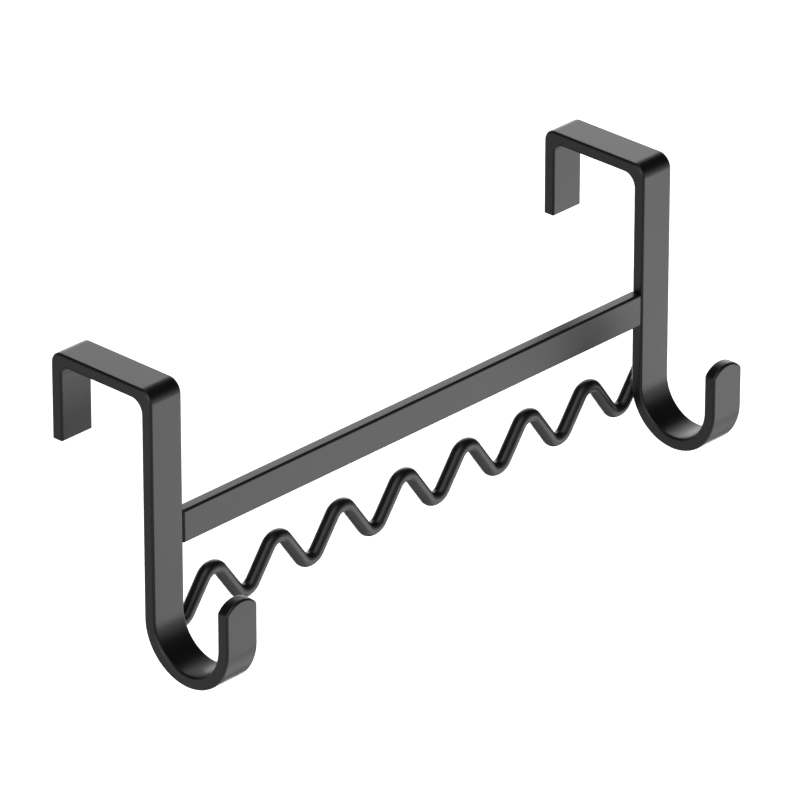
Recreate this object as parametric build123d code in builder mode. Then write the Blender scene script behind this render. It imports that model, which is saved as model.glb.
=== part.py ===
from build123d import *
from math import asin, atan2, cos, hypot, sin, tan
import os

# Bunk bed hook: two bent flat bars hang over a bed rail, a straight bar joins them,
# and a wire bent to a wave behind them takes clothes hangers. Millimetres.
# X runs along the rail, Y from the room (-) to the bed (+), Z up.
# The origin is where the bed rail's top bears: midway between the two brackets,
# in the middle of the rail gap, at the underside of the brackets' tops.
overall_length = 353.4

# Flat bar of the brackets
strip_width = 20.0
strip_thickness = 6.5
edge_chamfer = 0.75
cut_edge_chamfer = 0.3

# Saddle over the bed rail
rail_gap = 52.0
lip_length = 38.6
back_outer_radius = 6.0
back_inner_radius = 5.0
front_outer_radius = 7.2
front_inner_radius = 6.6

# J-shaped hook at the foot of each upright
upright_length = 110.7
hook_inner_radius = 20.4
tip_straight = 19.6
tip_rise = 5.0
tip_corner_radius = 2.0

# Straight bar between the uprights
cross_bar_height = 17.0
cross_bar_thickness = 6.5
cross_bar_drop = 61.0

# Wire wave behind the uprights
wire_diameter = 7.0
wave_peaks = 7
wave_height = 20.2
wave_bend_radius = 6.8
wave_drop = 114.4
end_valley_gap = 6.2
wire_end_inset = 10.0
wire_end_chamfer = 0.6
wire_sides = 20

# Weld beads on the hidden back
bar_bead_radius = 2.4
bar_bead_crown = 1.2
bar_bead_margin = 1.5
wire_bead_radius = 1.8
wire_bead_length = 9.0
wire_bead_rise = 0.9
wire_bead_overlap = 1.2
bead_end_chamfer = 0.8

os.makedirs("parts", exist_ok=True)

# Planes and places that the pieces share
upright_back = -rail_gap / 2
upright_front = upright_back - strip_thickness
lip_inside = rail_gap / 2
lip_outside = lip_inside + strip_thickness
hook_outer_radius = hook_inner_radius + strip_thickness
hook_y = upright_front - hook_inner_radius
tip_inside = hook_y - hook_inner_radius
tip_outside = tip_inside - strip_thickness
tip_shoulder = -upright_length + tip_straight
tip_top = tip_shoulder + tip_rise
bracket_x = (overall_length - strip_width) / 2
inner_side_x = bracket_x - strip_width / 2
cross_bar_back = upright_front + cross_bar_thickness


def save(piece, name):
    """Labels a finished piece and writes its file."""
    piece.label = name
    export_step(piece, f"parts/{name}.step")


# Bent flat bar. Its side profile has separate radii inside and outside each bend.
def bent_bar(x):
    """One bracket, with the middle of its width at x."""
    with BuildPart() as bracket:
        with BuildSketch(Plane.YZ.offset(x)):
            with BuildLine():
                FilletPolyline(
                    (lip_outside, -lip_length),
                    (lip_outside, strip_thickness),
                    (upright_front, strip_thickness),
                    (upright_front, -upright_length),
                    radius=(back_outer_radius, front_outer_radius),
                )
                CenterArc((hook_y, -upright_length), hook_inner_radius, 0, -180)
                Polyline(
                    (tip_inside, -upright_length),
                    (tip_inside, tip_top),
                    (tip_outside, tip_top),
                    (tip_outside, -upright_length),
                )
                CenterArc((hook_y, -upright_length), hook_outer_radius, 180, 180)
                FilletPolyline(
                    (upright_back, -upright_length),
                    (upright_back, 0),
                    (lip_inside, 0),
                    (lip_inside, -lip_length),
                    radius=(front_inner_radius, back_inner_radius),
                )
                Line((lip_inside, -lip_length), (lip_outside, -lip_length))
            make_face()
        extrude(amount=strip_width / 2, both=True)

        # The tip is cut to an arc across the bar, with soft shoulders.
        left, right = x - strip_width / 2, x + strip_width / 2
        with BuildSketch(Plane.XZ.offset(-tip_inside)):
            with BuildLine():
                Line((left, tip_shoulder), (left, tip_top + 1))
                Line((left, tip_top + 1), (right, tip_top + 1))
                Line((right, tip_top + 1), (right, tip_shoulder))
                ThreePointArc((right, tip_shoulder), (x, tip_top), (left, tip_shoulder))
            make_face()
        extrude(amount=strip_thickness, mode=Mode.SUBTRACT)
        thickness_edges = bracket.edges().filter_by(Axis.Y)
        shoulders = thickness_edges.filter_by_position(
            Axis.Z, tip_shoulder - 0.01, tip_shoulder + 0.01
        )
        fillet(shoulders, tip_corner_radius)

        # Every long edge is broken, along the sides and over the tip.
        side_edges = bracket.edges().filter_by(Plane.YZ)
        cut_edges = bracket.edges().filter_by(
            lambda edge: edge.length < strip_thickness + 0.001
        )
        tip_edges = bracket.edges().filter_by(GeomType.CIRCLE).filter_by(Plane.XZ)
        chamfer(side_edges - cut_edges + tip_edges, edge_chamfer)
        lip_end = bracket.faces().filter_by(Axis.Z).sort_by(Axis.Z)[0]
        chamfer(lip_end.edges(), cut_edge_chamfer)
    return bracket.part


left_bracket = bent_bar(-bracket_x)
right_bracket = bent_bar(bracket_x)
save(left_bracket, "left_bracket")
save(right_bracket, "right_bracket")

# Straight bar, flush with the uprights' fronts and butted between them.
# All its edges are broken, so that a groove shows along each joint.
with BuildPart() as cross_bar:
    with BuildSketch(Plane.YZ.offset(-inner_side_x)):
        with Locations((upright_front, -cross_bar_drop)):
            Rectangle(
                cross_bar_thickness, cross_bar_height, align=(Align.MIN, Align.MAX)
            )
    extrude(amount=2 * inner_side_x)
    chamfer(cross_bar.edges(), edge_chamfer)
save(cross_bar.part, "cross_bar")

# Wave. A flank's slope follows from the pitch, the height and the bend's radius.
wave_pitch = 2 * (inner_side_x - end_valley_gap) / wave_peaks
quarter_pitch = wave_pitch / 4
straight_rise = wave_height / 2 - wave_bend_radius
flank_slope = atan2(straight_rise, quarter_pitch) + asin(
    wave_bend_radius / hypot(straight_rise, quarter_pitch)
)
sharp_rise = quarter_pitch * tan(flank_slope)
wire_y = upright_back + wire_diameter / 2
wire_end_x = overall_length / 2 - wire_end_inset

# Sharp corners of the zigzag from the left valley to the right one, then the ends.
corners = []
for step in range(2 * wave_peaks + 1):
    corner_x = (step - wave_peaks) * wave_pitch / 2
    corner_z = -wave_drop + (sharp_rise if step % 2 else -sharp_rise)
    corners.append((corner_x, corner_z))
end_valley_x, end_valley_z = corners[-1]
wire_end_z = end_valley_z + (wire_end_x - end_valley_x) * tan(flank_slope)

# The round section is a polygon of many sides, one of them flat on the uprights' backs.
with BuildPart() as wave_rail:
    with BuildLine(Plane.XZ.offset(-wire_y)) as wave:
        FilletPolyline(
            (-wire_end_x, wire_end_z),
            *corners,
            (wire_end_x, wire_end_z),
            radius=wave_bend_radius,
        )
    with BuildSketch(Plane(origin=wave.line @ 0, x_dir=(0, 1, 0), z_dir=wave.line % 0)):
        RegularPolygon(
            wire_diameter / 2,
            wire_sides,
            major_radius=False,
            rotation=180 / wire_sides,
        )
    sweep()
    wire_ends = wave_rail.faces().sort_by(Axis.X)
    chamfer(wire_ends[0].edges() + wire_ends[-1].edges(), wire_end_chamfer)
save(wave_rail.part, "wave_rail")

# Upright beads in the grooves behind the cross bar's two ends.
with BuildPart() as cross_bar_welds:
    bead_y = min(cross_bar_back, upright_back) + bar_bead_crown - bar_bead_radius
    bead_z = -cross_bar_drop - cross_bar_height / 2
    with Locations((-inner_side_x, bead_y, bead_z), (inner_side_x, bead_y, bead_z)):
        Cylinder(bar_bead_radius, cross_bar_height - 2 * bar_bead_margin)
    chamfer(cross_bar_welds.edges().filter_by(GeomType.CIRCLE), bead_end_chamfer)
    add(cross_bar.part, mode=Mode.SUBTRACT)
    add(left_bracket, mode=Mode.SUBTRACT)
    add(right_bracket, mode=Mode.SUBTRACT)
save(cross_bar_welds.part, "cross_bar_welds")

# A bead on each side of the wire at its ends, in the corner against the upright.
with BuildPart() as wave_rail_welds:
    bead_y = upright_back + wire_bead_rise
    reach = wire_diameter / 2 + wire_bead_radius - wire_bead_overlap
    sideways = (reach**2 - (wire_y - bead_y) ** 2) ** 0.5
    middle_x = bracket_x - strip_width / 8
    middle_z = end_valley_z + (middle_x - end_valley_x) * tan(flank_slope)
    for end in (-1, 1):
        for side in (-1, 1):
            along = Vector(end * cos(flank_slope), 0, sin(flank_slope))
            across = Vector(-end * sin(flank_slope), 0, cos(flank_slope))
            middle = Vector(end * middle_x, bead_y, middle_z) + across * side * sideways
            with Locations(Plane(origin=middle, z_dir=along)):
                Cylinder(wire_bead_radius, wire_bead_length)
    chamfer(wave_rail_welds.edges().filter_by(GeomType.CIRCLE), bead_end_chamfer)
    add(wave_rail.part, mode=Mode.SUBTRACT)
    add(left_bracket, mode=Mode.SUBTRACT)
    add(right_bracket, mode=Mode.SUBTRACT)
save(wave_rail_welds.part, "wave_rail_welds")
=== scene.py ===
"""Bunk bed hook: the finished look of the rack that hangs over a bed rail.

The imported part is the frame. Most operators below model one kind of piece each, in metres
and in the part's own place, and one sets up a plain studio with the photograph's view.
X runs along the bed rail, Y from the room to the bed, and Z up.
"""

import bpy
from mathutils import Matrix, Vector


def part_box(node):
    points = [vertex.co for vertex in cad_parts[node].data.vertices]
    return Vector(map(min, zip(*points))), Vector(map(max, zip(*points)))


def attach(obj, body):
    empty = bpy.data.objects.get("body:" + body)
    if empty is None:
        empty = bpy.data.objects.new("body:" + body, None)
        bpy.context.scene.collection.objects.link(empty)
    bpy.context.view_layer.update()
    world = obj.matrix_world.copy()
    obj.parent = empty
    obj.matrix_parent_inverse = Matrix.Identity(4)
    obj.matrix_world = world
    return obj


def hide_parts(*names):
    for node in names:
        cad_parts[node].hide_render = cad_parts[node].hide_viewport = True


bl_info = {
    "name": "Bunk Bed Hook",
    "version": (1, 0, 0),
    "blender": (4, 5, 0),
    "location": "3D View > Sidebar > Bed Hook",
    "description": "Models the powder-coated hanging rack and its studio",
    "category": "Object",
}

from math import asin, atan2, cos, hypot, pi, radians, sin, tan

import bmesh
import bpy
from mathutils import Matrix, Vector

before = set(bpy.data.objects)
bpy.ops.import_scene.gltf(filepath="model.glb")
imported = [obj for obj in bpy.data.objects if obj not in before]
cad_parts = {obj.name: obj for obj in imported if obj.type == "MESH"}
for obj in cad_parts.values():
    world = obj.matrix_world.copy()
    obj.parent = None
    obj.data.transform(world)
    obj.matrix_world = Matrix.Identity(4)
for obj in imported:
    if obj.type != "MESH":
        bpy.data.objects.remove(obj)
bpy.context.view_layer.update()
BAR_LOW, BAR_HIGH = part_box("cross_bar")
WIRE_LOW, WIRE_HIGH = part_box("wave_rail")
LEFT_LOW, LEFT_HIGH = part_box("left_bracket")

# The flat bar is as thick as it stands above the bed rail's top, and the straight bar is
# flush with the uprights' fronts.
THICKNESS = LEFT_HIGH.z
UPRIGHT_FRONT = BAR_LOW.y
UPRIGHT_BACK = UPRIGHT_FRONT + THICKNESS

SIDE = Vector((1, 0, 0))
DEPTH = Vector((0, 1, 0))
UP = Vector((0, 0, 1))

# How finely each round form is divided.
TIP_ARC_STEPS = 26
TIP_CORNER_STEPS = 6
HOOK_BEND_STEPS = 48
TOP_BEND_STEPS = 14
EDGE_ROUNDING_STEPS = 5
WIRE_SIDES = 40
WIRE_BEND_STEPS = 18
BEAD_SIDES = 24

# An edge that turns more than these is a corner of the bar or the rim of the wire.
BAR_CORNER = radians(35)
WIRE_RIM = radians(60)

# Lengths in metres, and a turn, that are too small to count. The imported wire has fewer
# sides than the one here, so its lowest point may lie a little higher.
SAME_POINT = 1e-6
SAME_PLACE = 1e-5
SAME_WAVE = 2e-4
STRAIGHT = radians(0.5)

# Fixed values of the coat: how strongly it mirrors, how the noise of its skin, its gloss
# and its colour is made, and how much of the colour's mask the broad clouds are.
COAT_IOR = 1.5
SKIN_DETAIL = 2.0
SKIN_ROUGHNESS = 0.45
GLOSS_SCALE = 38.0
GLOSS_DETAIL = 3.0
CLOUD_DETAIL = 3.0
FLECK_DETAIL = 1.0
CLOUD_SHARE = 0.65

# Fixed values of the studio. The sensor is in millimetres, and other lengths in metres.
SENSOR_WIDTH = 36.0
NEAREST = 0.1
FARTHEST = 100.0
FLOOR_REACH = 30.0
FLOOR_ROUGHNESS = 0.9
PALE = (0.9, 0.9, 0.9, 1.0)
WHITE = (1.0, 1.0, 1.0, 1.0)


# Sizes and colours


class BracketSizes(bpy.types.PropertyGroup):
    """Bent flat bars that go over the bed rail."""

    lip_length: bpy.props.FloatProperty(
        name="Lip Length",
        description="How far the back lip hangs below the underside of the top",
        default=0.0386,
        min=0.015,
        unit="LENGTH",
        precision=4,
    )
    front_outer_radius: bpy.props.FloatProperty(
        name="Front Bend, Outside",
        description="Outside radius of the bend over the upright",
        default=0.0072,
        min=0.001,
        unit="LENGTH",
        precision=4,
    )
    front_inner_radius: bpy.props.FloatProperty(
        name="Front Bend, Inside",
        description="Inside radius of the bend over the upright",
        default=0.0066,
        min=0.001,
        unit="LENGTH",
        precision=4,
    )
    back_outer_radius: bpy.props.FloatProperty(
        name="Back Bend, Outside",
        description="Outside radius of the bend over the lip",
        default=0.006,
        min=0.001,
        unit="LENGTH",
        precision=4,
    )
    back_inner_radius: bpy.props.FloatProperty(
        name="Back Bend, Inside",
        description="Inside radius of the bend over the lip",
        default=0.005,
        min=0.001,
        unit="LENGTH",
        precision=4,
    )
    tip_straight: bpy.props.FloatProperty(
        name="Tip Straight",
        description="Height of the tip's shoulders above the middle of the hook's bend",
        default=0.0196,
        min=0.0,
        unit="LENGTH",
        precision=4,
    )
    tip_rise: bpy.props.FloatProperty(
        name="Tip Rise",
        description="How far the arc of the tip rises above its shoulders",
        default=0.005,
        min=0.001,
        unit="LENGTH",
        precision=4,
    )
    tip_corner_radius: bpy.props.FloatProperty(
        name="Tip Corner Radius",
        description="Radius of the soft shoulders of the tip",
        default=0.002,
        min=0.0005,
        unit="LENGTH",
        precision=4,
    )
    edge_radius: bpy.props.FloatProperty(
        name="Edge Radius",
        description="Rounding of the flat bar's long edges under the coating",
        default=0.0013,
        min=0.0002,
        max=0.003,
        unit="LENGTH",
        precision=5,
    )
    cut_edge_share: bpy.props.FloatProperty(
        name="Cut Edge Share",
        description="Rounding of the lip's cut end as a share of the edge radius",
        default=0.4,
        min=0.1,
        max=1.0,
        subtype="FACTOR",
    )


class WaveSizes(bpy.types.PropertyGroup):
    """Wire that is bent to a wave for the hangers."""

    peaks: bpy.props.IntProperty(
        name="Peaks",
        description="Number of peaks between the two end valleys",
        default=7,
        min=1,
        max=30,
    )
    diameter: bpy.props.FloatProperty(
        name="Wire Diameter",
        description="Diameter of the coated wire",
        default=WIRE_HIGH.y - WIRE_LOW.y,
        min=0.002,
        unit="LENGTH",
        precision=4,
    )
    height: bpy.props.FloatProperty(
        name="Wave Height",
        description="Height from a valley to a peak, along the middle of the wire",
        default=0.0202,
        min=0.005,
        unit="LENGTH",
        precision=4,
    )
    bend_radius: bpy.props.FloatProperty(
        name="Bend Radius",
        description="Radius of each bend, to the middle of the wire",
        default=0.0068,
        min=0.002,
        unit="LENGTH",
        precision=4,
    )
    end_gap: bpy.props.FloatProperty(
        name="End Valley Gap",
        description="Distance of an end valley's middle from the upright beside it",
        default=0.0062,
        min=0.0,
        unit="LENGTH",
        precision=4,
    )
    middle_height: bpy.props.FloatProperty(
        name="Middle Height",
        description="Height of the wave's middle line, measured from the bed rail's top",
        default=-0.1144,
        unit="LENGTH",
        precision=4,
    )
    end_inset: bpy.props.FloatProperty(
        name="End Inset",
        description="Distance of the wire's ends from the brackets' outer sides",
        default=0.010,
        min=0.0,
        unit="LENGTH",
        precision=4,
    )
    end_rounding: bpy.props.FloatProperty(
        name="End Rounding",
        description="Rounding of the rim of the wire's cut ends",
        default=0.0006,
        min=0.0001,
        unit="LENGTH",
        precision=5,
    )


class WeldSizes(bpy.types.PropertyGroup):
    """Beads on the hidden back that hold the pieces together."""

    bar_bead_width: bpy.props.FloatProperty(
        name="Bar Bead Width",
        description="Width of the beads behind the ends of the straight bar",
        default=0.0042,
        min=0.001,
        unit="LENGTH",
        precision=4,
    )
    wire_bead_width: bpy.props.FloatProperty(
        name="Wire Bead Width",
        description="Width of the beads along the ends of the wire",
        default=0.0036,
        min=0.001,
        unit="LENGTH",
        precision=4,
    )
    ripple_pitch: bpy.props.FloatProperty(
        name="Ripple Pitch",
        description="Distance from one ripple of a bead to the next",
        default=0.0013,
        min=0.0004,
        unit="LENGTH",
        precision=5,
    )
    ripple_depth: bpy.props.FloatProperty(
        name="Ripple Depth",
        description="How far a ripple stands over the next one, as a share of the radius",
        default=0.1,
        min=0.0,
        max=0.5,
        subtype="FACTOR",
    )
    ripple_bow: bpy.props.FloatProperty(
        name="Ripple Bow",
        description="How far a ripple's sides trail behind its middle, as a share of the radius",
        default=0.6,
        min=0.0,
        max=1.5,
        subtype="FACTOR",
    )
    rings_per_ripple: bpy.props.IntProperty(
        name="Rings per Ripple",
        description="How many rings of points shape one ripple",
        default=4,
        min=2,
        max=12,
    )


class CoatFinish(bpy.types.PropertyGroup):
    """Powder coat on all the steel."""

    colour: bpy.props.FloatVectorProperty(
        name="Coat Colour",
        description="Colour of the powder coat",
        default=(0.0042, 0.0043, 0.0044),
        min=0.0,
        max=1.0,
        size=3,
        subtype="COLOR",
    )
    roughness: bpy.props.FloatProperty(
        name="Coat Roughness",
        description="0 is a mirror and 1 is dead flat",
        default=0.36,
        min=0.05,
        max=1.0,
        subtype="FACTOR",
    )
    grain_size: bpy.props.FloatProperty(
        name="Grain Size",
        description="Size of the fine ripples of the powder coat's skin",
        default=0.0007,
        min=0.0001,
        unit="LENGTH",
        precision=5,
    )
    grain_depth: bpy.props.FloatProperty(
        name="Grain Depth",
        description="Height of the fine ripples of the powder coat's skin",
        default=0.000008,
        min=0.0,
        unit="LENGTH",
        precision=6,
    )


class StudioSizes(bpy.types.PropertyGroup):
    """Camera, lights and floor."""

    azimuth: bpy.props.FloatProperty(
        name="Camera Turn",
        description="How far the camera stands to the left of the rack's front",
        default=radians(46.443),
        subtype="ANGLE",
    )
    elevation: bpy.props.FloatProperty(
        name="Camera Elevation",
        description="How far the camera looks down",
        default=radians(26.688),
        subtype="ANGLE",
    )
    distance: bpy.props.FloatProperty(
        name="Camera Distance",
        description="Distance of the camera from the point it looks at",
        default=3.9287,
        min=0.5,
        unit="LENGTH",
    )
    target: bpy.props.FloatVectorProperty(
        name="Camera Target",
        description="Point that the camera looks at",
        default=(-0.01269, -0.0325, -0.05642),
        size=3,
        subtype="TRANSLATION",
        unit="LENGTH",
    )
    lens: bpy.props.FloatProperty(
        name="Lens",
        description="Focal length in millimetres for a sensor 36 mm wide",
        default=376.93,
        min=20.0,
        unit="CAMERA",
        precision=2,
    )
    floor_height: bpy.props.FloatProperty(
        name="Floor Height",
        description="Height of the floor below the rack, which hangs free above it",
        default=-0.45,
        unit="LENGTH",
    )
    light_distance: bpy.props.FloatProperty(
        name="Light Distance",
        description="Distance of the softboxes from the point that the camera looks at",
        default=4.0,
        min=1.0,
        unit="LENGTH",
    )
    ambient: bpy.props.FloatProperty(
        name="Even Light",
        description="Brightness of the dim light from all round; white is 1",
        default=0.02,
        min=0.0,
        precision=3,
    )


# Mesh tools


def parts_of(geom, kind):
    """The corners, edges or faces among what a bmesh operator returns."""
    return [item for item in geom if isinstance(item, kind)]


def with_rim(face):
    """A face with its edges and corners, as the extruding operators want it."""
    return [face, *face.edges, *face.verts]


def pull(bm, face, by):
    """Extrudes a face along a vector and returns the new end face."""
    geom = bmesh.ops.extrude_face_region(bm, geom=with_rim(face))["geom"]
    bmesh.ops.translate(bm, verts=parts_of(geom, bmesh.types.BMVert), vec=by)
    return parts_of(geom, bmesh.types.BMFace)[0]


def turn(bm, face, centre, axis, angle, steps):
    """Spins a face about an axis and returns the new end face."""
    geom = bmesh.ops.spin(
        bm, geom=with_rim(face), cent=centre, axis=axis, angle=angle, steps=steps
    )["geom_last"]
    return parts_of(geom, bmesh.types.BMFace)[0]


def disc(bm, centre, way, radius, sides):
    """A round face that looks along a direction, to be pulled into a rod."""
    facing = way.to_track_quat("Z", "Y").to_matrix().to_4x4()
    made = bmesh.ops.create_circle(
        bm,
        cap_ends=True,
        segments=sides,
        radius=radius,
        matrix=Matrix.Translation(centre) @ facing,
    )
    return made["verts"][0].link_faces[0]


def face_at(bm, point):
    """The face whose middle is nearest to a point."""
    return min(bm.faces, key=lambda face: (face.calc_center_median() - point).length)


def edge_at(bm, point):
    """The edge whose middle is nearest to a point."""
    return min(
        bm.edges,
        key=lambda edge: ((edge.verts[0].co + edge.verts[1].co) / 2 - point).length,
    )


def round_off(bm, geom, radius, segments, affect="EDGES"):
    """Rounds edges or corners to a radius."""
    bmesh.ops.bevel(
        bm,
        geom=geom,
        offset=radius,
        offset_type="OFFSET",
        affect=affect,
        segments=segments,
        profile=0.5,
        material=-1,
    )


def close_up(bm):
    """Merges doubles and turns all faces outwards."""
    bmesh.ops.remove_doubles(bm, verts=bm.verts, dist=SAME_POINT)
    bmesh.ops.recalc_face_normals(bm, faces=bm.faces)


def finished(bm, name, nodes, coat, rounding=None):
    """Makes the object of a piece, with smooth faces, and seats it in the frame."""
    for face in bm.faces:
        face.smooth = True
    mesh = bpy.data.meshes.new(name)
    bm.to_mesh(mesh)
    bm.free()
    piece = bpy.data.objects.new(name, mesh)
    bpy.context.scene.collection.objects.link(piece)
    mesh.materials.append(coat)
    if rounding:
        bevel = piece.modifiers.new("Rounded Edges", "BEVEL")
        bevel.width = rounding
        bevel.segments = EDGE_ROUNDING_STEPS
        bevel.limit_method = "WEIGHT"
        bevel.use_clamp_overlap = False
    # The largest face decides the shading, so that a rounding doesn't bend the flat beside it.
    even = piece.modifiers.new("Flat Faces Stay Flat", "WEIGHTED_NORMAL")
    even.mode = "FACE_AREA"
    even.weight = 100
    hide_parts(*nodes)
    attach(piece, "root")
    return piece


def weigh_edges(bm, weight_of):
    """Gives each edge the share of the rounding that weight_of says."""
    layer = bm.edges.layers.float.new("bevel_weight_edge")
    for edge in bm.edges:
        edge[layer] = weight_of(edge)


def need(held, message):
    """Stops the script with a message where something that must hold doesn't."""
    if not held:
        raise RuntimeError(message)


# Powder coat


def new_group(name, inputs, outputs):
    """A shader node group with its input and output nodes.

    An input whose default is None is a vector, and any other is a number.
    """
    group = bpy.data.node_groups.new(name, "ShaderNodeTree")
    for label, value in inputs.items():
        kind = "NodeSocketVector" if value is None else "NodeSocketFloat"
        socket = group.interface.new_socket(label, in_out="INPUT", socket_type=kind)
        if value is not None:
            socket.default_value = value
    for label, kind in outputs.items():
        group.interface.new_socket(label, in_out="OUTPUT", socket_type=kind)
    return group, group.nodes.new("NodeGroupInput"), group.nodes.new("NodeGroupOutput")


def maths(nodes, links, operation, first, second):
    """A Math node whose two inputs are sockets or numbers; returns its output."""
    node = nodes.new("ShaderNodeMath")
    node.operation = operation
    for slot, value in zip(node.inputs, (first, second)):
        if isinstance(value, (int, float)):
            slot.default_value = value
        else:
            links.new(value, slot)
    return node.outputs[0]


def powder_skin_group():
    """Fine ripples of a powder coat: their height, and how they dull the gloss."""
    found = bpy.data.node_groups.get("Powder Skin")
    if found:
        return found
    group, given, result = new_group(
        "Powder Skin",
        {"Vector": None, "Grain Size": 0.0007, "Roughness": 0.36, "Unevenness": 0.03},
        {"Height": "NodeSocketFloat", "Roughness": "NodeSocketFloat"},
    )
    nodes, links = group.nodes, group.links
    fine = nodes.new("ShaderNodeTexNoise")
    fine.inputs["Detail"].default_value = SKIN_DETAIL
    fine.inputs["Roughness"].default_value = SKIN_ROUGHNESS
    broad = nodes.new("ShaderNodeTexNoise")
    broad.inputs["Scale"].default_value = GLOSS_SCALE
    broad.inputs["Detail"].default_value = GLOSS_DETAIL
    scale = maths(nodes, links, "DIVIDE", 1.0, given.outputs["Grain Size"])
    links.new(given.outputs["Vector"], fine.inputs["Vector"])
    links.new(given.outputs["Vector"], broad.inputs["Vector"])
    links.new(scale, fine.inputs["Scale"])
    swing = maths(nodes, links, "SUBTRACT", broad.outputs["Fac"], 0.5)
    swing = maths(nodes, links, "MULTIPLY", swing, given.outputs["Unevenness"])
    rough = maths(nodes, links, "ADD", given.outputs["Roughness"], swing)
    links.new(fine.outputs["Fac"], result.inputs["Height"])
    links.new(rough, result.inputs["Roughness"])
    return group


def coat_shade_group():
    """Slight cloudiness of the coat's colour, as a mask from 0 to 1."""
    found = bpy.data.node_groups.get("Coat Shade")
    if found:
        return found
    group, given, result = new_group(
        "Coat Shade",
        {"Vector": None, "Cloud Size": 0.03, "Fleck Size": 0.0004},
        {"Mask": "NodeSocketFloat"},
    )
    nodes, links = group.nodes, group.links
    cloud = nodes.new("ShaderNodeTexNoise")
    cloud.inputs["Detail"].default_value = CLOUD_DETAIL
    fleck = nodes.new("ShaderNodeTexNoise")
    fleck.inputs["Detail"].default_value = FLECK_DETAIL
    for texture, size in ((cloud, "Cloud Size"), (fleck, "Fleck Size")):
        scale = maths(nodes, links, "DIVIDE", 1.0, given.outputs[size])
        links.new(given.outputs["Vector"], texture.inputs["Vector"])
        links.new(scale, texture.inputs["Scale"])
    clouds = maths(nodes, links, "MULTIPLY", cloud.outputs["Fac"], CLOUD_SHARE)
    flecks = maths(nodes, links, "MULTIPLY", fleck.outputs["Fac"], 1 - CLOUD_SHARE)
    links.new(maths(nodes, links, "ADD", clouds, flecks), result.inputs["Mask"])
    return group


def powder_coat(name, finish, grain=1.0, unevenness=0.03, contrast=0.12):
    """Satin powder coat: welds take a coarser grain of it, and the wire a finer one.

    Grain multiplies the size and height of the skin's ripples, unevenness is the swing of
    the gloss, and contrast is the swing of the colour, as a share of it.
    """
    found = bpy.data.materials.get(name)
    if found:
        return found
    coat = bpy.data.materials.new(name)
    coat.use_nodes = True
    nodes, links = coat.node_tree.nodes, coat.node_tree.links
    shader = nodes["Principled BSDF"]
    shader.inputs["Metallic"].default_value = 0.0
    shader.inputs["IOR"].default_value = COAT_IOR
    place = nodes.new("ShaderNodeTexCoord")
    skin = nodes.new("ShaderNodeGroup")
    skin.node_tree = powder_skin_group()
    skin.inputs["Grain Size"].default_value = finish.grain_size * grain
    skin.inputs["Roughness"].default_value = finish.roughness
    skin.inputs["Unevenness"].default_value = unevenness
    shade = nodes.new("ShaderNodeGroup")
    shade.node_tree = coat_shade_group()
    mix = nodes.new("ShaderNodeMix")
    mix.data_type = "RGBA"
    base = Vector(finish.colour)
    mix.inputs["A"].default_value = (*(base * (1 - contrast)), 1.0)
    mix.inputs["B"].default_value = (*(base * (1 + contrast)), 1.0)
    bump = nodes.new("ShaderNodeBump")
    bump.inputs["Strength"].default_value = 1.0
    bump.inputs["Distance"].default_value = finish.grain_depth * grain
    for group in (skin, shade):
        links.new(place.outputs["Object"], group.inputs["Vector"])
    links.new(shade.outputs["Mask"], mix.inputs["Factor"])
    links.new(mix.outputs["Result"], shader.inputs["Base Color"])
    links.new(skin.outputs["Roughness"], shader.inputs["Roughness"])
    links.new(skin.outputs["Height"], bump.inputs["Height"])
    links.new(bump.outputs["Normal"], shader.inputs["Normal"])
    return coat


# Pieces


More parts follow.
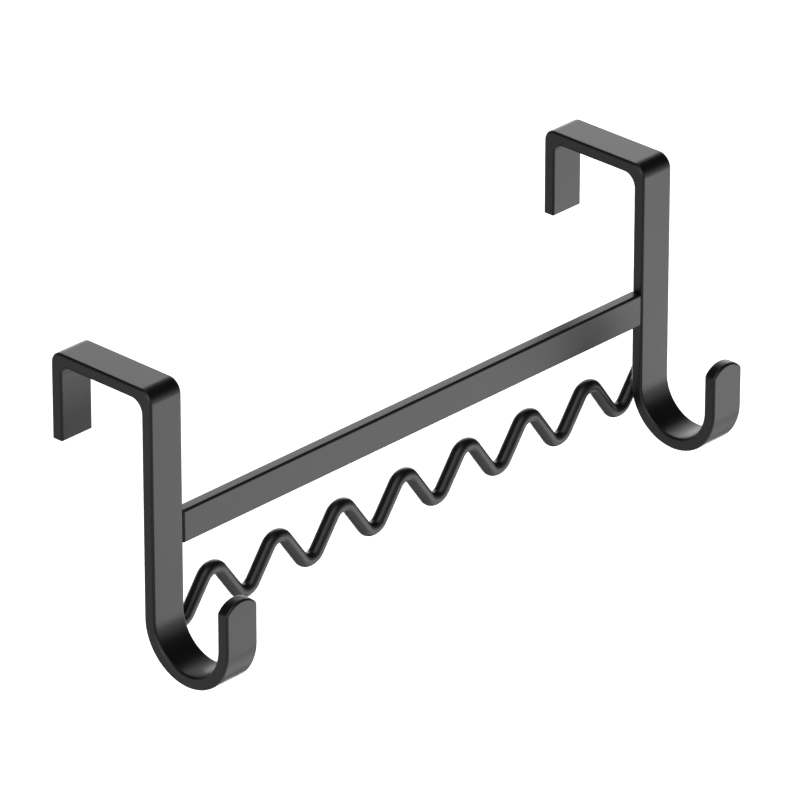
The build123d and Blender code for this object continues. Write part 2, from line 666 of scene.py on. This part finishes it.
class HOOK_OT_brackets(bpy.types.Operator):
    """Models the two bent flat bars, from the hook's tip to the back lip"""

    bl_idname = "bed_hook.brackets"
    bl_label = "Bent Brackets"

    def execute(self, context):
        sizes = context.scene.bed_hook_bracket
        coat = powder_coat("powder_coat_bar", context.scene.bed_hook_coat)
        for side, mirrored in (("left", False), ("right", True)):
            node = f"{side}_bracket"
            bm = self.bent_bar(sizes)
            if mirrored:
                bmesh.ops.scale(bm, vec=(-1, 1, 1), verts=bm.verts)
                bmesh.ops.recalc_face_normals(bm, faces=bm.faces)
            low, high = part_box(node)
            places = [vert.co.x for vert in bm.verts]
            off = max(abs(min(places) - low.x), abs(max(places) - high.x))
            need(off < SAME_PLACE, f"the {side} bar isn't where {node} is")
            weigh_edges(bm, lambda edge: self.rounding_share(edge, sizes))
            finished(bm, f"{side}_bent_bar", [node], coat, sizes.edge_radius)
        return {"FINISHED"}

    def bent_bar(self, sizes):
        """Left bracket, all its long edges still sharp."""
        left, right = LEFT_LOW.x, LEFT_HIGH.x
        middle = (left + right) / 2
        outer_radius = (UPRIGHT_BACK - LEFT_LOW.y) / 2
        centre = Vector((middle, UPRIGHT_BACK - outer_radius, LEFT_LOW.z + outer_radius))
        shoulder = centre.z + sizes.tip_straight
        half_width = (right - left) / 2
        tip_radius = (half_width**2 + sizes.tip_rise**2) / (2 * sizes.tip_rise)
        tip_turn = 2 * asin(half_width / tip_radius)
        arc_centre = Vector((middle, LEFT_LOW.y, shoulder + sizes.tip_rise - tip_radius))

        # Outline of the tip's front: two lower corners, and an arc spun from one shoulder.
        bm = bmesh.new()
        foot_left = bm.verts.new((left, LEFT_LOW.y, centre.z))
        foot_right = bm.verts.new((right, LEFT_LOW.y, centre.z))
        first = bm.verts.new((left, LEFT_LOW.y, shoulder))
        arc = bmesh.ops.spin(
            bm,
            geom=[first],
            cent=arc_centre,
            axis=DEPTH,
            angle=tip_turn,
            steps=TIP_ARC_STEPS,
        )
        last = parts_of(arc["geom_last"], bmesh.types.BMVert)[0]
        bm.edges.new((foot_left, first))
        bm.edges.new((foot_right, last))
        bm.edges.new((foot_left, foot_right))
        bmesh.ops.contextual_create(bm, geom=bm.edges)
        corner_turn = pi / 2 - tip_turn / 2
        corner_reach = sizes.tip_corner_radius * tan(corner_turn / 2)
        round_off(bm, [first, last], corner_reach, TIP_CORNER_STEPS, "VERTICES")

        # The tip's thickness, the hook's bend, and on over the rail to the lip.
        pull(bm, next(iter(bm.faces)), DEPTH * THICKNESS)
        under = face_at(bm, Vector((middle, LEFT_LOW.y + THICKNESS / 2, centre.z)))
        end = turn(bm, under, centre, SIDE, pi, HOOK_BEND_STEPS)
        end = pull(bm, end, UP * -centre.z)
        pull(bm, end, UP * THICKNESS)
        end = face_at(bm, Vector((middle, UPRIGHT_BACK, THICKNESS / 2)))
        end = pull(bm, end, DEPTH * (LEFT_HIGH.y - THICKNESS - UPRIGHT_BACK))
        pull(bm, end, DEPTH * THICKNESS)
        end = face_at(bm, Vector((middle, LEFT_HIGH.y - THICKNESS / 2, 0)))
        pull(bm, end, UP * -sizes.lip_length)
        close_up(bm)
        bmesh.ops.dissolve_limit(bm, angle_limit=STRAIGHT, verts=bm.verts, edges=bm.edges)

        # Outside and inside of the two bends over the rail: their corner and radius.
        bends = (
            (UPRIGHT_FRONT, THICKNESS, sizes.front_outer_radius),
            (LEFT_HIGH.y, THICKNESS, sizes.back_outer_radius),
            (UPRIGHT_BACK, 0.0, sizes.front_inner_radius),
            (LEFT_HIGH.y - THICKNESS, 0.0, sizes.back_inner_radius),
        )
        for y, z, radius in bends:
            round_off(bm, [edge_at(bm, Vector((middle, y, z)))], radius, TOP_BEND_STEPS)
        bmesh.ops.recalc_face_normals(bm, faces=bm.faces)
        return bm

    def rounding_share(self, edge, sizes):
        """Long edges get the whole rounding, the lip's cut end a small one, bends none."""
        if edge.calc_face_angle() < BAR_CORNER:
            return 0.0
        lip_end = -sizes.lip_length + SAME_PLACE
        if all(vert.co.y > 0 and vert.co.z < lip_end for vert in edge.verts):
            return sizes.cut_edge_share
        return 1.0


class HOOK_OT_cross_bar(bpy.types.Operator):
    """Models the straight bar between the uprights"""

    bl_idname = "bed_hook.cross_bar"
    bl_label = "Straight Bar"

    def execute(self, context):
        coat = powder_coat("powder_coat_bar", context.scene.bed_hook_coat)
        size = BAR_HIGH - BAR_LOW
        bm = bmesh.new()
        place = Matrix.Translation((BAR_LOW + BAR_HIGH) / 2)
        bmesh.ops.create_cube(bm, size=1.0, matrix=place @ Matrix.Diagonal((*size, 1.0)))
        weigh_edges(bm, lambda edge: 1.0)
        rounding = context.scene.bed_hook_bracket.edge_radius
        finished(bm, "straight_bar", ["cross_bar"], coat, rounding)
        return {"FINISHED"}


class HOOK_OT_wave_rail(bpy.types.Operator):
    """Models the round wire, bent to a wave"""

    bl_idname = "bed_hook.wave_rail"
    bl_label = "Wave"

    def execute(self, context):
        sizes = context.scene.bed_hook_wave
        coat = powder_coat("powder_coat_wire", context.scene.bed_hook_coat, grain=0.9)
        bm = bmesh.new()
        line = WavePath(sizes)
        end = disc(bm, line.start, line.along(1), sizes.diameter / 2, WIRE_SIDES)

        # The flanks run down and up by turns, with a bend after each but the last.
        sense = 1
        for centre, run in line.bends():
            end = pull(bm, end, line.along(sense) * run)
            end = turn(bm, end, centre, DEPTH, -2 * sense * line.slope, WIRE_BEND_STEPS)
            sense = -sense
        pull(bm, end, line.along(sense) * line.end_run)
        close_up(bm)
        weigh_edges(bm, self.rim_only)
        piece = finished(bm, "wave_wire", ["wave_rail"], coat, sizes.end_rounding)
        low = min(vert.co.z for vert in piece.data.vertices)
        need(abs(low - WIRE_LOW.z) < SAME_WAVE, "the wave isn't where the packed one is")
        return {"FINISHED"}

    @staticmethod
    def rim_only(edge):
        """The rims of the wire's cut ends get the rounding, and no other edge."""
        return 1.0 if edge.calc_face_angle() > WIRE_RIM else 0.0


class WavePath:
    """The middle line of the wire: a zigzag of straight flanks joined by round bends.

    A flank's slope follows from the pitch, the height and the bends' radius. The wire lies
    on the uprights' backs, and its ends run on along the last flanks.
    """

    def __init__(self, sizes):
        self.sizes = sizes
        self.pitch = 2 * (abs(LEFT_HIGH.x) - sizes.end_gap) / sizes.peaks
        quarter = self.pitch / 4
        rise = sizes.height / 2 - sizes.bend_radius
        self.slope = atan2(rise, quarter) + asin(sizes.bend_radius / hypot(rise, quarter))
        self.sharp_rise = quarter * tan(self.slope)
        self.y = UPRIGHT_BACK + sizes.diameter / 2
        end_x = abs(LEFT_LOW.x) - sizes.end_inset
        corner = self.corner(0)
        end_flank = (end_x - abs(corner.x)) / cos(self.slope)
        self.start = Vector((-end_x, self.y, corner.z + end_flank * sin(self.slope)))
        self.tangent = sizes.bend_radius * tan(self.slope)
        self.end_run = end_flank - self.tangent

    def corner(self, step):
        """A sharp corner of the zigzag; even ones are valleys."""
        sizes = self.sizes
        x = (step - sizes.peaks) * self.pitch / 2
        z = sizes.middle_height + (self.sharp_rise if step % 2 else -self.sharp_rise)
        return Vector((x, self.y, z))

    def along(self, sense):
        """Direction of a flank, to the right: 1 runs down to a valley, -1 up to a peak."""
        return Vector((cos(self.slope), 0, -sense * sin(self.slope)))

    def bends(self):
        """For each bend, its centre and the straight run before it."""
        lift = self.sizes.bend_radius / cos(self.slope)
        flank = self.pitch / 2 / cos(self.slope) - 2 * self.tangent
        for step in range(2 * self.sizes.peaks + 1):
            centre = self.corner(step) + UP * (-lift if step % 2 else lift)
            yield centre, self.end_run if step == 0 else flank


class HOOK_OT_weld_beads(bpy.types.Operator):
    """Models the rippled weld beads on the hidden back"""

    bl_idname = "bed_hook.weld_beads"
    bl_label = "Weld Beads"

    def execute(self, context):
        sizes = context.scene.bed_hook_weld
        coat = powder_coat(
            "powder_coat_weld",
            context.scene.bed_hook_coat,
            grain=1.6,
            unevenness=0.08,
            contrast=0.2,
        )
        slope = WavePath(context.scene.bed_hook_wave).slope
        flank = Vector((cos(slope), 0, sin(slope)))
        self.beads_of("cross_bar_welds", UP, sizes.bar_bead_width / 2, sizes, coat)
        self.beads_of("wave_rail_welds", flank, sizes.wire_bead_width / 2, sizes, coat)
        return {"FINISHED"}

    def beads_of(self, node, way, radius, sizes, coat):
        """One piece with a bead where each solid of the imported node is.

        The way is the direction of the beads at the right; those at the left mirror it.
        """
        bm = bmesh.new()
        for island in self.islands(node):
            at_left = sum(point.x for point in island) < 0
            along = Vector((-way.x, way.y, way.z)) if at_left else way
            start, end = self.spine(island, along, radius)
            self.bead(bm, start, end, radius, sizes)
        bmesh.ops.recalc_face_normals(bm, faces=bm.faces)
        piece = finished(bm, node.replace("welds", "beads"), [node], coat)
        # The ripples are softened before the shading is evened out.
        soft = piece.modifiers.new("Soft Ripples", "SUBSURF")
        soft.levels = soft.render_levels = 1
        piece.modifiers.move(1, 0)

    def islands(self, node):
        """The points of each bead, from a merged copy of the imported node, left ones first."""
        bm = bmesh.new()
        bm.from_mesh(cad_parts[node].data)
        bmesh.ops.remove_doubles(bm, verts=bm.verts, dist=SAME_POINT)
        unseen = set(bm.verts)
        found = []
        while unseen:
            island, reached = [], [unseen.pop()]
            while reached:
                vert = reached.pop()
                island.append(vert.co.copy())
                for edge in vert.link_edges:
                    other = edge.other_vert(vert)
                    if other in unseen:
                        unseen.discard(other)
                        reached.append(other)
            found.append(island)
        bm.free()
        need(found, f"{node} has no beads")
        return sorted(found, key=lambda island: min(point.x for point in island))

    def spine(self, points, way, radius):
        """Start and end of a bead's middle line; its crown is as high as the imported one."""
        across = way.cross(DEPTH)
        runs = [point.dot(way) for point in points]
        sides = [point.dot(across) for point in points]
        crown = max(point.y for point in points)
        line = across * (min(sides) + max(sides)) / 2 + DEPTH * (crown - radius)
        return line + way * min(runs), line + way * max(runs)

    def bead(self, bm, start, end, radius, sizes):
        """A bead of overlapping bowed ripples with round ends.

        A small bowed disc is pulled from ring to ring and scaled to the girth at each.
        """
        way = (end - start).normalized()
        length = (end - start).length
        rings = max(1, round(length / sizes.ripple_pitch)) * sizes.rings_per_ripple
        step = length / rings
        across = way.cross(DEPTH)
        girth = self.girth_at(step / 2, length, radius, sizes)
        face = disc(bm, start, way, girth, BEAD_SIDES)
        for vert in face.verts:
            aside = (vert.co - start).dot(across) / girth
            vert.co -= way * sizes.ripple_bow * girth * aside**2
        for ring in range(1, rings + 1):
            face = pull(bm, face, way * step)
            # The last ring is as wide as half a step before the end, where it isn't a point.
            place = min(ring * step, length - step / 2)
            wanted = self.girth_at(place, length, radius, sizes)
            bmesh.ops.scale(
                bm,
                vec=Vector((1, 1, 1)) * (wanted / girth),
                space=Matrix.Translation(-(start + way * step * ring)),
                verts=face.verts,
            )
            girth = wanted

    @staticmethod
    def girth_at(place, length, radius, sizes):
        """Radius of the bead at a place along it: round ends, and a saw of soft ripples."""
        from_end = min(place, length - place)
        cap = 1.0 if from_end > radius else (1 - (1 - from_end / radius) ** 2) ** 0.5
        fall = (place / sizes.ripple_pitch) % 1.0
        return radius * cap * (1.0 - sizes.ripple_depth * fall)


# Studio


def softbox(name, azimuth, elevation, distance, size, radiance, aim):
    """A soft light that faces a point and isn't seen itself.

    Azimuth and elevation are in degrees, seen from the point, and 0 is the rack's front.
    Radiance is the light's own brightness, and white is 1.
    """
    lamp = bpy.data.lights.new(name, "AREA")
    lamp.shape = "RECTANGLE"
    lamp.size, lamp.size_y = size
    lamp.energy = radiance * pi * size[0] * size[1]
    box = bpy.data.objects.new(name, lamp)
    bpy.context.scene.collection.objects.link(box)
    azimuth, elevation = radians(azimuth), radians(elevation)
    out = Vector(
        (cos(elevation) * sin(azimuth), -cos(elevation) * cos(azimuth), sin(elevation))
    )
    facing = out.to_track_quat("Z", "Y").to_matrix().to_4x4()
    box.matrix_world = Matrix.Translation(aim + out * distance) @ facing
    box.visible_camera = False


class HOOK_OT_studio(bpy.types.Operator):
    """Sets up the camera, the floor and the soft lights"""

    bl_idname = "bed_hook.studio"
    bl_label = "Studio"

    # Name, turn to the right of the rack's front and elevation in degrees, width and height
    # in metres, and brightness. The first three light the tops and the far rims, and the
    # next three the fronts. Then come those from below, from the left and from round the
    # camera. The last ten hardly show in the photograph's view, and give the other sides
    # their sheen.
    softboxes = (
        ("back_low_box", 145, -33, (3.2, 1.8), 5.0),
        ("back_level_box", 135, 10, (3.2, 1.2), 3.15),
        ("back_high_box", 137, 30, (3.2, 1.6), 1.65),
        ("front_level_box", 46, 0, (3.2, 1.6), 0.78),
        ("front_box", 46, -25, (3.2, 1.8), 2.8),
        ("front_low_box", 50, -52, (3.2, 1.6), 1.6),
        ("right_low_box", 92, -50, (2.0, 2.0), 0.45),
        ("below_front_box", 0, -78, (2.4, 2.4), 0.9),
        ("below_back_box", 180, -65, (3.0, 2.0), 0.5),
        ("below_left_box", 260, -52, (3.0, 1.6), 0.68),
        ("left_level_box", 262, 0, (3.2, 1.8), 2.35),
        ("left_low_box", 240, -26, (3.4, 1.8), 0.66),
        ("below_camera_box", 312, -27, (2.0, 1.6), 0.92),
        ("camera_level_box", 316, 2, (2.2, 1.4), 0.73),
        ("camera_left_box", 300, 26, (1.8, 1.8), 2.2),
        ("camera_right_box", 330, 26, (1.8, 1.8), 1.0),
        ("camera_high_box", 315, 52, (3.2, 1.8), 1.7),
        ("back_fill_box", 138, -12, (3.2, 1.4), 2.0),
        ("far_back_box", 180, -15, (2.4, 1.6), 2.2),
        ("right_fill_box", 90, -17, (2.4, 1.6), 1.5),
        ("low_front_box", 0, -18, (2.4, 1.6), 1.2),
        ("low_camera_box", 330, -52, (2.4, 1.8), 1.0),
        ("top_box", 270, 80, (2.6, 2.6), 0.5),
        ("far_back_high_box", 180, 14, (2.4, 1.4), 0.35),
        ("left_high_box", 230, 18, (3.0, 1.4), 0.1),
        ("right_high_box", 92, 20, (2.4, 1.4), 0.1),
        ("front_high_box", 10, 14, (3.2, 1.2), 0.25),
    )

    def execute(self, context):
        sizes = context.scene.bed_hook_studio
        self.camera(context.scene, sizes)
        self.floor(sizes)
        self.world(context.scene, sizes)
        aim = Vector(sizes.target)
        for name, azimuth, elevation, size, radiance in self.softboxes:
            softbox(name, azimuth, elevation, sizes.light_distance, size, radiance, aim)
        context.scene.view_settings.view_transform = "Standard"
        return {"FINISHED"}

    def camera(self, scene, sizes):
        """A camera at the photograph's viewing angle."""
        camera = bpy.data.objects.new("camera", bpy.data.cameras.new("camera"))
        scene.collection.objects.link(camera)
        camera.data.sensor_width = SENSOR_WIDTH
        camera.data.lens = sizes.lens
        camera.data.clip_start, camera.data.clip_end = NEAREST, FARTHEST
        back = Vector(
            (
                -sin(sizes.azimuth) * cos(sizes.elevation),
                -cos(sizes.azimuth) * cos(sizes.elevation),
                sin(sizes.elevation),
            )
        )
        camera.location = Vector(sizes.target) + back * sizes.distance
        camera.rotation_mode = "QUATERNION"
        camera.rotation_quaternion = (-back).to_track_quat("-Z", "Y")
        scene.camera = camera

    def floor(self, sizes):
        """A wide floor that shows as plain white and is clear from below.

        It neither lights the rack nor is mirrored in it.
        """
        bm = bmesh.new()
        bmesh.ops.create_grid(bm, x_segments=1, y_segments=1, size=FLOOR_REACH)
        bmesh.ops.translate(bm, verts=bm.verts, vec=UP * sizes.floor_height)
        mesh = bpy.data.meshes.new("floor")
        bm.to_mesh(mesh)
        bm.free()
        floor = bpy.data.objects.new("floor", mesh)
        bpy.context.scene.collection.objects.link(floor)
        pale = bpy.data.materials.new("pale_floor")
        pale.use_nodes = True
        nodes, links = pale.node_tree.nodes, pale.node_tree.links
        shader = nodes["Principled BSDF"]
        shader.inputs["Base Color"].default_value = PALE
        shader.inputs["Roughness"].default_value = FLOOR_ROUGHNESS
        shader.inputs["Emission Color"].default_value = WHITE
        shader.inputs["Emission Strength"].default_value = 1.0
        clear = nodes.new("ShaderNodeBsdfTransparent")
        side = nodes.new("ShaderNodeNewGeometry")
        mix = nodes.new("ShaderNodeMixShader")
        links.new(side.outputs["Backfacing"], mix.inputs["Fac"])
        links.new(shader.outputs["BSDF"], mix.inputs[1])
        links.new(clear.outputs["BSDF"], mix.inputs[2])
        links.new(mix.outputs["Shader"], nodes["Material Output"].inputs["Surface"])
        mesh.materials.append(pale)
        floor.visible_diffuse = False
        floor.visible_glossy = False
        floor.visible_shadow = False

    def world(self, scene, sizes):
        """White behind everything, and a dim even light from all round."""
        world = bpy.data.worlds.new("studio")
        scene.world = world
        world.use_nodes = True
        nodes, links = world.node_tree.nodes, world.node_tree.links
        shown = nodes["Background"]
        shown.inputs["Color"].default_value = WHITE
        dim = nodes.new("ShaderNodeBackground")
        dim.inputs["Color"].default_value = WHITE
        dim.inputs["Strength"].default_value = sizes.ambient
        path = nodes.new("ShaderNodeLightPath")
        mix = nodes.new("ShaderNodeMixShader")
        links.new(path.outputs["Is Camera Ray"], mix.inputs["Fac"])
        links.new(dim.outputs["Background"], mix.inputs[1])
        links.new(shown.outputs["Background"], mix.inputs[2])
        links.new(mix.outputs["Shader"], nodes["World Output"].inputs["Surface"])


# Panel and registration


class HOOK_PT_panel(bpy.types.Panel):
    """Lists the operators and their sizes"""

    bl_idname = "HOOK_PT_panel"
    bl_label = "Bunk Bed Hook"
    bl_space_type = "VIEW_3D"
    bl_region_type = "UI"
    bl_category = "Bed Hook"

    def draw(self, context):
        for operator, group_name in STEPS:
            box = self.layout.box()
            box.operator(operator.bl_idname)
            self.list_settings(box, getattr(context.scene, group_name))
        self.list_settings(self.layout.box(), context.scene.bed_hook_coat)

    def list_settings(self, box, group):
        """Shows each setting of a group in a box of the panel."""
        for name in group.bl_rna.properties.keys():
            if name not in ("rna_type", "name"):
                box.prop(group, name)


GROUPS = {
    "bed_hook_bracket": BracketSizes,
    "bed_hook_wave": WaveSizes,
    "bed_hook_weld": WeldSizes,
    "bed_hook_coat": CoatFinish,
    "bed_hook_studio": StudioSizes,
}

# Each operator with the settings that the panel lists under it.
STEPS = (
    (HOOK_OT_studio, "bed_hook_studio"),
    (HOOK_OT_brackets, "bed_hook_bracket"),
    (HOOK_OT_cross_bar, "bed_hook_bracket"),
    (HOOK_OT_wave_rail, "bed_hook_wave"),
    (HOOK_OT_weld_beads, "bed_hook_weld"),
)
CLASSES = (*GROUPS.values(), *(operator for operator, _ in STEPS), HOOK_PT_panel)


def register():
    for cls in CLASSES:
        bpy.utils.register_class(cls)
    for name, cls in GROUPS.items():
        setattr(bpy.types.Scene, name, bpy.props.PointerProperty(type=cls))


def unregister():
    for name in GROUPS:
        delattr(bpy.types.Scene, name)
    for cls in reversed(CLASSES):
        bpy.utils.unregister_class(cls)


def main():
    """Builds the whole scene in the order of the panel."""
    register()
    bpy.ops.bed_hook.studio()
    bpy.ops.bed_hook.brackets()
    bpy.ops.bed_hook.cross_bar()
    bpy.ops.bed_hook.wave_rail()
    bpy.ops.bed_hook.weld_beads()
    coat = powder_coat("powder_coat_bar", bpy.context.scene.bed_hook_coat)
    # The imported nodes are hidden, and have the coat for when someone shows them.
    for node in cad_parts.values():
        node.data.materials.clear()
        node.data.materials.append(coat)


if __name__ == "__main__":
    main()
